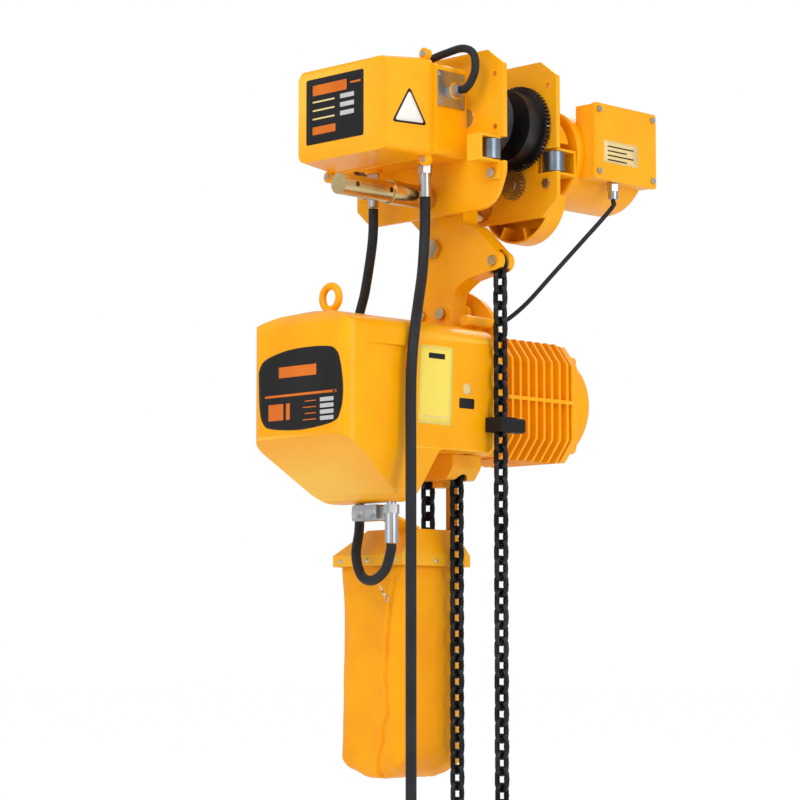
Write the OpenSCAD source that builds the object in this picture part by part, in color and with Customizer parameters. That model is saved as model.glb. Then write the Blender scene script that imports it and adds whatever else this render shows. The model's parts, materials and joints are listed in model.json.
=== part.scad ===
// Electric chain hoist hung from a motorised trolley that runs on an I-beam.
// Frame: origin on the suspension shaft midway between the side plates, X along the beam,
// Y along the shaft and the motors, Z up.

/* [Trolley] */
// Length of the side plates along the beam
plate_length = 312; // [308:2:316]
// Thickness of the side plates
plate_t = 8; // [7:1:8]
// Distance between the inner faces of the side plates
plate_gap = 110; // [110:1:112]
// Diameter of the suspension shaft
shaft_d = 32; // [28:1:32]
// Distance between the wheel axles
wheel_base = 160; // [158:1:162]
// Height of the wheel axles above the suspension shaft
axle_z = 112; // [110:1:113]
// Radius of the wheel treads
tread_r = 55; // [53:1:56]
// Radius of the guide rollers
roller_r = 17; // [15:1:17]

/* [Hoist] */
// Place of the hoist's main axis along the beam
hoist_x = -33; // [-34:1:-32]
// Height of the hoist's main axis
hoist_z = -298; // [-300:1:-297]
// Half the width of the hoist casing
body_half = 112; // [110:1:113]
// Half the width of the hoist motor over its fins
motor_half = 94; // [92:1:95]
// Thickness of the casing walls
wall = 7; // [6:1:8]

/* [Chain] */
// Links of the live fall, from sprocket to sheave
live_links = 30; // [26:2:30]

/* [Hidden] */
$fn = 48;
FIT = 0.05;
GAP = 0.2;
inner_y = plate_gap / 2;
outer_y = inner_y + plate_t;
shaft_r = shaft_d / 2;
axle_x = wheel_base / 2;
plate_end = plate_length / 2;
axle_r = 14;
bearing_r = 26;
// Chain: pitch, wire radius, half width of the wire's centre line, reach of the centre line
pitch = 24;
wire_r = 3.9;
link_w = 9.5;
link_reach = 16;
// Radii of the link centres on the four-pocket sprocket and on the twelve-sided sheave
sprocket_flat_r = 27.31;
sprocket_upright_r = 30.63;
sheave_flat_r = 43.71;
sheave_upright_r = 45.86;
live_x = hoist_x + sprocket_upright_r;
slack_x = hoist_x - sprocket_upright_r;
sheave_x = live_x + sheave_upright_r;
dead_x = sheave_x + sheave_upright_r;
sheave_z = hoist_z - live_links * pitch;
dead_links = live_links + 8;
anchor_z = sheave_z + dead_links * pitch + 7;
slack_links = 9;
// Hoist gear train: centre distance 50 in both steps
step_d = 50;
first_m = 1;
first_small = 14;
first_big = 86;
second_m = 1.25;
second_small = 13;
second_big = 67;
// Travel gear train
travel_m = 2;
rim_teeth = 64;
out_teeth = 22;
out_x = 70;
out_z = axle_z - sqrt(pow(travel_m * (rim_teeth + out_teeth) / 2, 2) - pow(axle_x - out_x, 2));
drive_x = 80;
drive_z = out_z + sqrt(step_d * step_d - pow(drive_x - out_x, 2));
drive_r = 74;
// Rear plane of the casing and the start of the motor
body_front = -305;
seam_y = -187;
body_rear = 4;
motor_y = 40;
motor_end = 209;
block_pin_r = 9;
hook_r = 22;
hook_z = sheave_z - 178;
bag_x = [-164, -24];
bag_y = [-95, 41];
bag_top = -543;
bag_low = -880;
pend_x = 90;
pend_y = -192;
pend_z = -960;

YELLOW = "orange";
ZINC = "silver";
DARK = "dimgray";
STEEL = "lightsteelblue";

// Placing helpers: a rod from a point along an axis, and slabs extruded from an outline
module rod_x(x, y, z, r, len) translate([x, y, z]) rotate([0, 90, 0]) cylinder(r = r, h = len);
module rod_y(x, y, z, r, len) translate([x, y, z]) rotate([-90, 0, 0]) cylinder(r = r, h = len);
module rod_z(x, y, z, r, len) translate([x, y, z]) cylinder(r = r, h = len);
module slab_xz(y0, y1) translate([0, y1, 0]) rotate([90, 0, 0]) linear_extrude(y1 - y0) children();
module slab_yz(x0, x1) translate([x0, 0, 0]) rotate([90, 0, 90]) linear_extrude(x1 - x0) children();
module box(a, b) translate(a) cube(b - a);
module hex_y(x, y, z, r, len) translate([x, y, z]) rotate([-90, 0, 0]) cylinder(r = r, h = len, $fn = 6);
module hex_x(x, y, z, r, len) translate([x, y, z]) rotate([0, 90, 0]) cylinder(r = r, h = len, $fn = 6);
module ring_y(x, y, z, r0, r1, len) difference() {
    rod_y(x, y, z, r1, len);
    rod_y(x, y - 1, z, r0, len + 2);
}

// An outline whose corners [x, y, radius] are rounded by short chords
function unit(v) = v / norm(v);
function corner(p, c, n, r, k = 6) =
    let(a = unit([p[0] - c[0], p[1] - c[1]]), b = unit([n[0] - c[0], n[1] - c[1]]),
        half = acos(a * b) / 2, m = unit(a + b), d = r / tan(half),
        o = [c[0], c[1]] + m * (r / sin(half)), s = [c[0], c[1]] + a * d - o,
        e = [c[0], c[1]] + b * d - o, a0 = atan2(s[1], s[0]),
        turn = ((atan2(e[1], e[0]) - a0 + 540) % 360) - 180)
    [for (i = [0:k]) o + r * [cos(a0 + turn * i / k), sin(a0 + turn * i / k)]];
function rounded(pts) = let(n = len(pts)) [for (i = [0:n - 1])
    each (pts[i][2] > 0 ? corner(pts[(i + n - 1) % n], pts[i], pts[(i + 1) % n], pts[i][2])
        : [[pts[i][0], pts[i][1]]])];
module rounded_rect(a, b, r)
    polygon(rounded([[a[0], a[1], r], [b[0], a[1], r], [b[0], b[1], r], [a[0], b[1], r]]));

// Involute gear outline with stub teeth and backlash, standing in the X-Z plane once extruded
function inv(a) = tan(a) * 180 / PI - a;
function tooth_half(r, rp, m, z) = let(rb = rp * cos(20))
    0.45 * 180 / z + inv(20) - (r > rb ? inv(acos(rb / r)) : 0);
module gear_2d(m, z, phase = 0) {
    rp = m * z / 2;
    radii = [rp - 0.95 * m, max(rp * cos(20), rp - 0.6 * m), rp, rp + 0.4 * m, rp + 0.75 * m];
    polygon([for (i = [0:z - 1]) let(a = phase + i * 360 / z) each concat(
        [for (r = radii) r * [cos(a - tooth_half(r, rp, m, z)), sin(a - tooth_half(r, rp, m, z))]],
        [for (k = [4:-1:0]) let(r = radii[k])
            r * [cos(a + tooth_half(r, rp, m, z)), sin(a + tooth_half(r, rp, m, z))]])]);
}
// Phase that puts a tooth gap of a gear with z teeth at angle a
function gap_at(a, z) = a + 180 / z;

// A tube swept along a smooth curve through points
function spline(p, t) = let(n = len(p) - 1, i = min(floor(t), n - 1), u = t - i,
        a = p[max(i - 1, 0)], b = p[i], c = p[i + 1], d = p[min(i + 2, n)])
    0.5 * (2 * b + u * (c - a) + u * u * (2 * a - 5 * b + 4 * c - d) + u * u * u * (3 * b - a - 3 * c + d));
module tube(points, r, steps = 5, sides = 10) {
    n = (len(points) - 1) * steps;
    path = [for (i = [0:n]) spline(points, i / steps)];
    rings = [for (i = [0:n]) let(
            t = unit(path[min(i + 1, n)] - path[max(i - 1, 0)]),
            u = unit(cross(t, abs(t[2]) > 0.7 ? [0, 1, 0] : [0, 0, 1])), v = cross(t, u))
        for (k = [0:sides - 1]) path[i] + r * (cos(k * 360 / sides) * u + sin(k * 360 / sides) * v)];
    polyhedron(rings, concat(
        [[for (k = [0:sides - 1]) k]],
        [for (i = [0:n - 1], k = [0:sides - 1]) let(a = i * sides, b = a + sides, l = (k + 1) % sides)
            [a + k, b + k, b + l, a + l]],
        [[for (k = [sides - 1:-1:0]) n * sides + k]]));
}

// Trolley side plates, the front one with its round corner
module plate_outline(corner_r) polygon(rounded([[-plate_end, -2, 4], [-plate_end + 30, -29, 6],
    [plate_end - (corner_r > 20 ? 20 : 30), -29, corner_r], [plate_end, corner_r > 20 ? 22 : -2, corner_r],
    [plate_end, 186, 6], [plate_end - 32, 211, 6], [-plate_end + 32, 211, 6], [-plate_end, 186, 6]]));
module side_plate(y0, corner_r, drive) difference() {
    slab_xz(y0, y0 + plate_t) plate_outline(corner_r);
    rod_y(0, y0 - 1, 0, shaft_r + 0.1, plate_t + 2);
    for (s = [-1, 1]) {
        rod_y(s * axle_x, y0 - 1, axle_z, axle_r + 0.1, plate_t + 2);
        box([s > 0 ? 114 : -plate_end - 1, y0 - 1, 39], [s > 0 ? plate_end + 1 : -114, y0 + plate_t + 1, 75]);
        rod_y(s * roller_x, y0 - 1, 22, 5.1, plate_t + 2);
        for (z = [92, 172]) rod_y(s * 138, y0 - 1, z, 4, plate_t + 2);
    }
    if (drive) rod_y(out_x, y0 - 1, out_z, 10 + FIT, plate_t + 2);
}
module trolley_front_plate() color(YELLOW) side_plate(-outer_y, 46, false);
module trolley_back_plate() color(YELLOW) side_plate(inner_y, 6, true);

module suspension_shaft() color("khaki") difference() {
    rod_y(0, -252, 0, shaft_r, 336);
    for (y = [-228, -158]) rod_x(-20, y, 0, 4, 40);
    rod_x(-20, 74, 0, 3, 40);
}
module shaft_collars() color("khaki") {
    ring_y(0, -150, 0, shaft_r + 0.02, 18.5, 24);
    ring_y(0, -125.5, 0, shaft_r + 0.02, 17.6, 62);
    ring_y(0, -inner_y + 0.5, 0, shaft_r + 0.02, 23, inner_y - 19);
    ring_y(0, 18.5, 0, shaft_r + 0.02, 23, inner_y - 19);
    ring_y(0, outer_y + 0.5, 0, shaft_r + 0.02, 19.5, 7);
}

// The four wheel corners as [x side, y side]
CORNERS = [[1, 1], [-1, 1], [1, -1], [-1, -1]];
module at_side(sy) mirror([0, sy < 0 ? 1 : 0, 0]) children();
module wheel_axles() color(ZINC) for (c = CORNERS) at_side(c[1]) {
    rod_y(c[0] * axle_x, 24 + GAP, axle_z, axle_r, outer_y - 24 - GAP);
    ring_y(c[0] * axle_x, 46, axle_z, axle_r, 18, 8.5);
}
module wheel_bearings() color(STEEL) for (c = CORNERS) at_side(c[1])
    ring_y(c[0] * axle_x, 26, axle_z, axle_r + 0.02, bearing_r - FIT, 19);
module wheel(c, driven = false) at_side(c[1]) difference() {
    union() {
        rod_y(c[0] * axle_x, 18, axle_z, tread_r, 27);
        if (driven) slab_xz(45, 54) translate([c[0] * axle_x, axle_z]) gear_2d(travel_m, rim_teeth, rim_phase);
        else rod_y(c[0] * axle_x, 45, axle_z, 62, 9);
    }
    rod_y(c[0] * axle_x, 24, axle_z, bearing_r, 22);
    rod_y(c[0] * axle_x, 45, axle_z, 21, 10);
}
out_angle = atan2(axle_z - out_z, axle_x - out_x);
rim_phase = gap_at(out_angle + 180, rim_teeth);
module drive_wheel() color(DARK) wheel([1, 1], true);
module wheel_back_left() color(DARK) wheel([-1, 1]);
module wheel_front_right() color(DARK) wheel([1, -1]);
module wheel_front_left() color(DARK) wheel([-1, -1]);

// Guide rollers on hat-shaped brackets outside the plates
roller_x = 135.5;
roller_y = 72;
module roller(c) at_side(c[1]) difference() {
    rod_z(c[0] * roller_x, roller_y, 41, roller_r, 30);
    rod_z(c[0] * roller_x, roller_y, 40, 6 + FIT, 32);
}
module roller_brackets() color(YELLOW) for (c = CORNERS) at_side(c[1]) difference() {
    union() {
        slab_yz(c[0] * roller_x - 14, c[0] * roller_x + 14) polygon([[outer_y, 12], [67, 12], [67, 36],
            [106, 36], [106, 76], [67, 76], [67, 84], [outer_y, 84], [outer_y, 72], [102, 72], [102, 40],
            [outer_y, 40]]);
        rod_z(c[0] * roller_x, roller_y, 38, 6, 36);
    }
    rod_y(c[0] * roller_x, outer_y - 1, 22, 5.1, 7);
}
module roller_back_right() color(STEEL) roller([1, 1]);
module roller_back_left() color(STEEL) roller([-1, 1]);
module roller_front_right() color(STEEL) roller([1, -1]);
module roller_front_left() color(STEEL) roller([-1, -1]);

// Control box on the front plate
box_split = -133;
module control_box_base() color(YELLOW) difference() {
    union() {
        slab_xz(box_split + 4, -outer_y) rounded_rect([-116, 50], [81, 188], 8);
        slab_xz(box_split, box_split + 5) rounded_rect([-150, 46], [73, 196], 12);
        for (p = EARS) rod_y(p[0], box_split, p[1], 9, 5);
        rod_x(81, -90, 150, 13, 3);
        rod_z(29, -100, 44, 13, 8);
        rod_z(-82, -100, 44, 13, 8);
    }
    slab_xz(box_split - 1, -outer_y - 4) rounded_rect([-112, 54], [66, 184], 6);
    for (p = EARS) rod_y(p[0], box_split - 1, p[1], 2.6, 8);
    rod_z(29, -100, 40, 7.1, 30);
    rod_z(-82, -100, 40, 7.1, 30);
    rod_x(60, -90, 150, 7.1, 40);
}
EARS = [[62, 203], [62, 43], [-145, 43], [-145, 203]];
module cover_shape(inset) hull() {
    slab_xz(-207 + inset, -206 + inset) rounded_rect([-136 + inset, 52 + inset], [56 - inset, 192 - inset], 14);
    slab_xz(box_split - 1, box_split + 1) rounded_rect([-148 + inset, 48 + inset], [72 - inset, 197 - inset], 12);
}
module control_box_cover() color(YELLOW) difference() {
    union() {
        intersection() {
            cover_shape(0);
            box([-200, -220, 0], [100, box_split - GAP, 250]);
        }
        for (p = EARS) rod_y(p[0], box_split - 4, p[1], 9, 4 - GAP);
    }
    intersection() {
        cover_shape(3);
        box([-200, -220, 0], [100, box_split + 2, 250]);
    }
    for (p = EARS) rod_y(p[0], box_split - 10, p[1], 2.6, 12);
}
module trolley_fasteners() color(ZINC) {
    for (p = EARS) {
        rod_y(p[0], box_split - 6, p[1], 4.5, 2);
        rod_y(p[0], box_split - 4, p[1], 2.4, 9);
    }
    for (c = CORNERS) at_side(c[1]) {
        hex_y(c[0] * roller_x, 67, 22, 8, 5);
        rod_y(c[0] * roller_x, inner_y, 22, 5, 12);
        hex_y(c[0] * roller_x, inner_y - 4, 22, 8, 4);
    }
    for (y = [130, 257], z = [46, 142]) {
        rod_x(175, y, z, 4.5, 4);
        rod_x(165, y, z, 2.4, 10);
    }
}
module trolley_contactors() color(DARK) {
    for (x = [-100, -50, 0]) box([x, -100, 90], [x + 42, -outer_y - 4, 160]);
    box([-104, -76, 64], [46, -outer_y - 4, 80]);
}

// A union gland: threaded stub, hexagon and clamp, pointing down from z
module gland(x, y, z, len, r) {
    rod_z(x, y, z - 1, 7, 7);
    translate([x, y, z - 14]) cylinder(r = r, h = 13, $fn = 6);
    rod_z(x, y, z - len, r - 2, len - 14);
}
module trolley_glands() color(ZINC) {
    gland(29, -100, 44, 50, 11);
    gland(-82, -100, 44, 52, 10);
    rod_x(78, -90, 150, 7, 6);
    hex_x(84, -90, 150, 11, 12);
    gland(158, 183, 36, 26, 10);
    difference() {
        box([81 + GAP, -128, 123], [83.8, -70, 177]);
        rod_x(80, -90, 150, 13 + GAP, 5);
    }
    for (y = [-123, -75], z = [128, 172]) rod_x(83, y, z, 3, 2.6);
}
module supply_lead() color(DARK) tube([[96.4, -90, 150], [98.4, -90, 150], [103, -90, 150.3], [114, -90, 158],
    [122, -88, 178], [118, -88, 202], [96, -88, 213], [60, -88, 211], [10, -88, 205], [-60, -88, 204]], 6);

// Travel gear case and motor behind the back plate
module case_2d(inset) difference() {
    union() {
        translate([66, 10]) circle(72 - inset);
        translate([drive_x, drive_z]) circle(64 - inset);
    }
    circle(22 + inset);
    translate([118.2 - inset, 8 - inset]) square([60, 78 + 2 * inset]);
}
case_y = 97;
travel_y = 108;
travel_end = 276;
module travel_gear_case() color(YELLOW) difference() {
    union() {
        slab_xz(outer_y, case_y) case_2d(0);
        rod_y(drive_x, case_y - 1, drive_z, 34, travel_y - case_y + 1);
    }
    slab_xz(outer_y - 1, case_y - 6) difference() {
        case_2d(3.4);
        for (a = [240, 285]) translate([66, 10]) rotate(a) translate([50, -2]) square([30, 4]);
    }
    rod_y(drive_x, outer_y, drive_z, 9 + FIT, 60);
}
module travel_motor_housing() color(YELLOW) difference() {
    translate([drive_x, travel_y, drive_z]) rotate([-90, 0, 0]) rotate_extrude()
        polygon(rounded([[0, 0, 0], [drive_r, 0, 5], [drive_r, travel_end - travel_y, 20],
            [0, travel_end - travel_y, 0]]));
    rod_y(drive_x, travel_y + 8, drive_z, drive_r - 6, travel_end - travel_y - 16);
    rod_y(drive_x, travel_y - 1, drive_z, 9 + FIT, 10);
}
module travel_stator() color("peru") difference() {
    rod_y(drive_x, 140, drive_z, drive_r - 6 - GAP, 100);
    rod_y(drive_x, 139, drive_z, 42.6, 102);
}
module terminal_box() color(YELLOW) difference() {
    box([136, 122, 36], [169, 265, 150]);
    rod_y(drive_x, 100, drive_z, drive_r + GAP, 200);
    box([158, 127, 41], [170, 260, 145]);
    rod_z(158, 183, 30, 7.1, 12);
    for (y = [130, 257], z = [46, 142]) rod_x(160, y, z, 2.5, 12);
}
module terminal_cover() color(YELLOW) difference() {
    slab_yz(169, 175) rounded_rect([120, 34], [267, 152], 5);
    for (y = [130, 257], z = [46, 142]) rod_x(160, y, z, 2.5, 20);
}
module travel_output_shaft() color(STEEL) {
    slab_xz(45, 54) translate([out_x, out_z]) gear_2d(travel_m, out_teeth, out_angle);
    rod_y(out_x, 44, out_z, 10, 44);
    slab_xz(70, 80) translate([out_x, out_z]) gear_2d(first_m, first_big, drive_phase);
}
drive_angle = atan2(drive_z - out_z, drive_x - out_x);
drive_phase = gap_at(drive_angle, first_big);
module travel_rotor() color(STEEL) {
    slab_xz(69, 81) translate([drive_x, drive_z]) gear_2d(first_m, first_small, drive_angle + 180);
    rod_y(drive_x, 66, drive_z, 5.5, 20);
    rod_y(drive_x, 85, drive_z, 9, 177);
    rod_y(drive_x, 145, drive_z, 42, 90);
}

// Suspender: eye on the shaft, neck down to the casing and two lugs for the dead end of the chain
module suspender() color(YELLOW) difference() {
    union() {
        slab_xz(-16, 16) union() {
            circle(30);
            polygon(rounded([[-28, 0, 0], [-28, -34, 8], [-62, -40, 14], [-68, -80, 20], [-65, -186, 0],
                [5, -186, 0], [3, -140, 26], [34, -122, 20], [70, -116, 10], [dead_x, anchor_z - 14, 0],
                [dead_x + 10, anchor_z + 10, 0], [50, -42, 14], [28, -34, 6], [28, 0, 0]]));
        }
        rod_y(dead_x, -16, anchor_z, 15, 32);
    }
    rod_y(0, -20, 0, shaft_r + FIT, 40);
    rod_y(dead_x, -20, anchor_z, 5.1, 40);
    box([dead_x - 17, -5, anchor_z - 40], [dead_x + 20, 5, anchor_z + 18]);
    rod_z(dead_x, 0, anchor_z - 40, 14.5, 29.5);
    for (x = [-52, -10]) rod_y(x, -20, -172, 6.1, 40);
    rod_y(hoist_x, -20, -69, 10.1, 40);
}
module hoist_fasteners() color("khaki") {
    rod_y(dead_x, -18, anchor_z, 5, 36);
    rod_y(dead_x, -20, anchor_z, 8, 4 - GAP);
    rod_y(hoist_x, -16, -69, 10, 32);
    hex_y(hoist_x, -27, -69, 16, 11);
    hex_y(hoist_x, 16, -69, 16, 9);
    for (x = [-52, -10]) {
        rod_y(x, -24, -172, 6, 48);
        hex_y(x, -31, -172, 9.5, 7);
        hex_y(x, 24, -172, 9.5, 7);
    }
    for (c = COVER_SCREWS) {
        rod_y(c[0], -206, c[1], 5.5, 5);
        rod_y(c[0], -202, c[1], 3, 32);
    }
}

// Casing outline seen from the side and from the front
module side_outline(inset) polygon(rounded([[body_front + inset, -188 - inset, 42],
    [body_front + inset, -374 + inset, 16], [-172, -465 + inset, 24], [-148 - inset, -469 + inset, 10],
    [-111, -388 + inset, 12], [body_rear - inset, -388 + inset, 18], [body_rear - inset, -188 - inset, 24]]));
module front_outline(inset) translate([hoist_x, 0]) polygon(rounded([
    [-body_half + inset, -210 - inset, 34], [-60, -194 - inset, 60], [0, -189 - inset, 90], [60, -194 - inset, 60],
    [body_half - inset, -210 - inset, 34], [body_half - 8 - inset, -388, 40], [84 - inset, -466 + inset, 26],
    [-84 + inset, -466 + inset, 26], [-body_half + 8 + inset, -388, 40]]));
module plan_outline(inset) translate([hoist_x, 0]) polygon(rounded([
    [-100 + inset, body_front + inset, 26], [100 - inset, body_front + inset, 26],
    [body_half - inset, seam_y - 6, 30], [body_half - inset, body_rear - inset, 16],
    [-body_half + inset, body_rear - inset, 16], [-body_half + inset, seam_y - 6, 30]]));
module casing(inset) intersection() {
    slab_yz(-200, 120) side_outline(inset);
    slab_xz(-320, 20) front_outline(inset);
    translate([0, 0, -480]) linear_extrude(320) plan_outline(inset);
}
module motor_2d(h) translate([hoist_x, hoist_z]) polygon(rounded([
    [h - 26, -h, 6], [h, 34 - h, 6], [h, h - 34, 6], [h - 26, h, 6], [26 - h, h, 6], [-h, h - 34, 6],
    [-h, 34 - h, 6], [26 - h, -h, 6]]));
wall_y = [-52, -40];
rear_wall = 26;
lay_x = hoist_x - step_d;
// Screws that hold the front cover, two to a side
COVER_SCREWS = [for (s = [-1, 1], p = [[99, -228], [93, -372]]) [hoist_x + s * p[0], p[1]]];
module hoist_body() color(YELLOW) difference() {
    union() {
        intersection() {
            casing(0);
            box([-200, seam_y, -480], [120, 20, -150]);
        }
        slab_xz(body_rear - 1, motor_y - GAP) motor_2d(90);
        slab_xz(31.2, motor_y - GAP) translate([hoist_x, -217]) circle(86);
        for (y = [-24, 16 + GAP]) slab_xz(y, y + 8 - GAP) polygon(rounded([[-70, -210, 0], [-66, -154, 12],
            [4, -154, 12], [14, -210, 0]]));
        rod_y(38, -25, -186, 8.5, 60);
        box([-70, -16, -210], [8, 16, -186 - GAP]);
    }
    // Control space, gear chamber and chain chamber
    difference() {
        intersection() {
            casing(wall);
            box([-200, seam_y - 1, -480], [120, -124, -150]);
        }
        for (c = COVER_SCREWS) rod_y(c[0], -192, c[1], 10, 30);
    }
    intersection() {
        casing(wall);
        union() {
            rod_y(hoist_x, -116, hoist_z, 47, 116 + wall_y[0]);
            rod_y(lay_x, -116, hoist_z, 47, 116 + wall_y[0]);
        }
    }
    rod_y(hoist_x, wall_y[1], hoist_z, 52, rear_wall - wall_y[1]);
    box([hoist_x - 47, -18, -400], [hoist_x + 47, 18, hoist_z]);
    rod_y(hoist_x, -60, hoist_z, 26, 90);
    rod_y(hoist_x, -140, hoist_z, 12, 60);
    rod_y(hoist_x, 20, hoist_z, 26, 30);
    rod_y(lay_x, -122, hoist_z, 12, 76);
    for (x = [-52, -10]) rod_y(x, -30, -172, 6.1, 60);
    for (c = COVER_SCREWS) rod_y(c[0], -200, c[1], 3.05, 31);
    rod_z(16, -158, -480, 7.1, 40);
}
module front_cover() color(YELLOW) difference() {
    intersection() {
        casing(0);
        box([-200, -320, -480], [120, seam_y - GAP, -150]);
    }
    difference() {
        intersection() {
            casing(8);
            box([-200, -310, -480], [120, seam_y + 1, -150]);
        }
        for (c = COVER_SCREWS) rod_y(c[0], -222, c[1], 13, 60);
    }
    for (c = COVER_SCREWS) {
        rod_y(c[0], -214, c[1], 8.5, 13);
        rod_y(c[0], -214, c[1], 3.1, 40);
    }
    // A flat panel let into each side next to the seam
    for (s = [0, 1]) translate([hoist_x, 0, -354]) mirror([s, 0, 0]) linear_extrude(112)
        polygon([[104.4, -264], [107.6, seam_y], [130, seam_y], [130, -264]]);
    rod_z(hoist_x, -236, -240, 6.1, 60);
}
module hoist_controls() color(DARK) {
    box([hoist_x - 70, -150, -380], [hoist_x + 70, -124 - GAP, -372]);
    for (x = [-66, -18, 30]) box([hoist_x + x, -200, -300], [hoist_x + x + 40, -126, -240]);
    box([hoist_x - 66, -185, -368], [hoist_x + 4, -126, -312]);
    box([hoist_x + 14, -180, -360], [hoist_x + 68, -126, -320]);
    difference() {
        box([hoist_x - 72, -126, -370], [hoist_x + 72, -124 - GAP, -234]);
        rod_y(hoist_x, -130, hoist_z, 13, 10);
    }
}
module eye_bolt() color(YELLOW) {
    translate([hoist_x, -236, -165.5]) rotate([90, 0, 0]) rotate_extrude() translate([17.5, 0]) circle(5.5);
    rod_z(hoist_x, -236, -188.8, 8, 6);
    rod_z(hoist_x, -236, -212, 6, 24);
}

// Hoist motor with its fins, end cover, stator and brake
module motor_housing() color(YELLOW) difference() {
    union() {
        slab_xz(motor_y, motor_end) motor_2d(motor_half - 12);
        slab_xz(motor_y, motor_y + 6) motor_2d(motor_half - 3);
        for (i = [0:7]) slab_xz(56 + 18 * i, 61 + 18 * i) motor_2d(motor_half);
        slab_xz(motor_end - 13, motor_end) motor_2d(motor_half - 2);
        for (s = [-1, 1]) box([hoist_x + (s > 0 ? 80 : -motor_half), 50, hoist_z - 3],
            [hoist_x + (s > 0 ? motor_half : -80), 200, hoist_z + 3]);
    }
    rod_y(hoist_x, motor_y - 1, hoist_z, 76, 154);
    rod_y(hoist_x, 190, hoist_z, 10 + FIT, 25);
}
module motor_end_cover() color(YELLOW) difference() {
    union() {
        translate([hoist_x, motor_end + GAP, hoist_z]) rotate([-90, 0, 0]) rotate_extrude()
            polygon(rounded([[0, 0, 0], [90, 0, 0], [89, 34, 14], [60, 50, 30], [0, 56, 0]]));
        for (a = [45:90:315]) translate([hoist_x, 0, hoist_z]) rotate([0, a, 0])
            rod_y(94, motor_end + GAP, 0, 11, 14);
    }
    rod_y(hoist_x, motor_end - 1, hoist_z, 80, 40);
}
module motor_stator() color("peru") difference() {
    rod_y(hoist_x, 62, hoist_z, 76 - GAP, 122);
    rod_y(hoist_x, 61, hoist_z, 50.6, 124);
}
module brake_coil() color("firebrick") ring_y(hoist_x, 227, hoist_z, 26, 62, 18);
module shaft_bearings() color(STEEL) {
    ring_y(hoist_x, wall_y[0] + 1, hoist_z, 17 + FIT, 25.98, 10);
    ring_y(hoist_x, rear_wall + 1, hoist_z, 17 + FIT, 25.98, 8);
    ring_y(lay_x, -121, hoist_z, 6 + FIT, 11.98, 8);
    ring_y(lay_x, -52, hoist_z, 6 + FIT, 11.98, 6);
}
module motor_rotor() color(STEEL) {
    slab_xz(-109, -95) translate([hoist_x, hoist_z]) gear_2d(first_m, first_small, 180);
    rod_y(hoist_x, -118, hoist_z, 5.5, 28);
    rod_y(hoist_x, -90, hoist_z, 7.5, 150);
    rod_y(hoist_x, 60, hoist_z, 10, 188);
    rod_y(hoist_x, 64, hoist_z, 50, 118);
    rod_y(hoist_x, 215, hoist_z, 60, 6);
}
module layshaft() color(STEEL) {
    slab_xz(-108, -96) translate([lay_x, hoist_z]) gear_2d(first_m, first_big, gap_at(0, first_big));
    rod_y(lay_x, -121, hoist_z, 6, 75);
    slab_xz(-87, -60) translate([lay_x, hoist_z]) gear_2d(second_m, second_small, 0);
}
module load_sprocket() color(STEEL) difference() {
    union() {
        rod_y(hoist_x, -20, hoist_z, 35, 40);
        rod_y(hoist_x, -60, hoist_z, 17, 95);
        slab_xz(-86, -60) translate([hoist_x, hoist_z])
            gear_2d(second_m, second_big, gap_at(180, second_big));
    }
    rod_y(hoist_x, -90, hoist_z, 10, 130);
    // Groove for the upright links and a pocket for each flat one
    difference() {
        rod_y(hoist_x, -4.4, hoist_z, 40, 8.8);
        rod_y(hoist_x, -5, hoist_z, sprocket_upright_r - link_w - wire_r - 0.4, 10);
    }
    for (a = [45:90:315]) translate([hoist_x, 0, hoist_z]) rotate([0, a, 0])
        box([sprocket_flat_r - wire_r - 0.3, -14, -21], [50, 14, 21]);
}
module chain_guide() color(YELLOW) difference() {
    union() {
        slab_xz(-32, 30) polygon(rounded([[-84, -388 - GAP, 0], [-84, -408, 8], [-70, -426, 8], [6, -426, 8],
            [20, -408, 8], [20, -388 - GAP, 0]]));
        box([-44, -10, -436], [-22, 10, -424]);
    }
    for (x = [slack_x, live_x]) rod_z(x, 0, -450, 15, 80);
}
module hoist_gland() color(ZINC) {
    gland(16, -158, -469, 58, 12);
    difference() {
        slab_xz(-172, -152) rounded_rect([-54, -493], [-2, -469 - GAP], 4);
        for (x = [-42, -14]) rod_y(x, -180, -483, 4.1, 40);
    }
    for (x = [-42, -14]) {
        hex_y(x, -178, -483, 7, 6);
        rod_y(x, -172, -483, 4, 24);
    }
}

// One link standing in the X-Z plane, long along Z
module link() for (s = [0, 180]) rotate([0, s, 0]) {
    translate([link_w, 0, -(link_reach - link_w)]) cylinder(r = wire_r, h = 2 * (link_reach - link_w));
    translate([0, 0, link_reach - link_w]) rotate([90, 0, 0]) rotate_extrude(angle = 180)
        translate([link_w, 0]) circle(wire_r);
}
module fall(x, z, first, count, step) for (i = [first:count])
    translate([x, 0, z + i * step * pitch]) rotate([0, 0, i % 2 == 0 ? 0 : 90]) link();
module wrap(x, z, flat_r, upright_r, step, from, to) for (i = [from:to])
    translate([x, 0, z]) rotate([0, -i * step, 0]) translate([i % 2 == 0 ? upright_r : flat_r, 0, 0])
        rotate([0, 0, i % 2 == 0 ? 0 : 90]) link();
module load_chain() color(DARK) {
    wrap(hoist_x, hoist_z, sprocket_flat_r, sprocket_upright_r, 45, 1, 3);
    fall(slack_x, hoist_z, 0, slack_links, -1);
    fall(live_x, hoist_z, 0, live_links - 1, -1);
    wrap(sheave_x, sheave_z, sheave_flat_r, sheave_upright_r, 30, -6, 0);
    fall(dead_x, sheave_z, 1, dead_links, 1);
}
module chain_stop() color("black") difference() {
    union() {
        box([dead_x - 15.3, -17, -358], [dead_x + 17, 17, -336]);
        slab_xz(16, 40) rounded_rect([dead_x - 8, -358], [dead_x + 14, -336], 5);
    }
    rod_z(dead_x, 0, -360, 14, 30);
}

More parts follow.
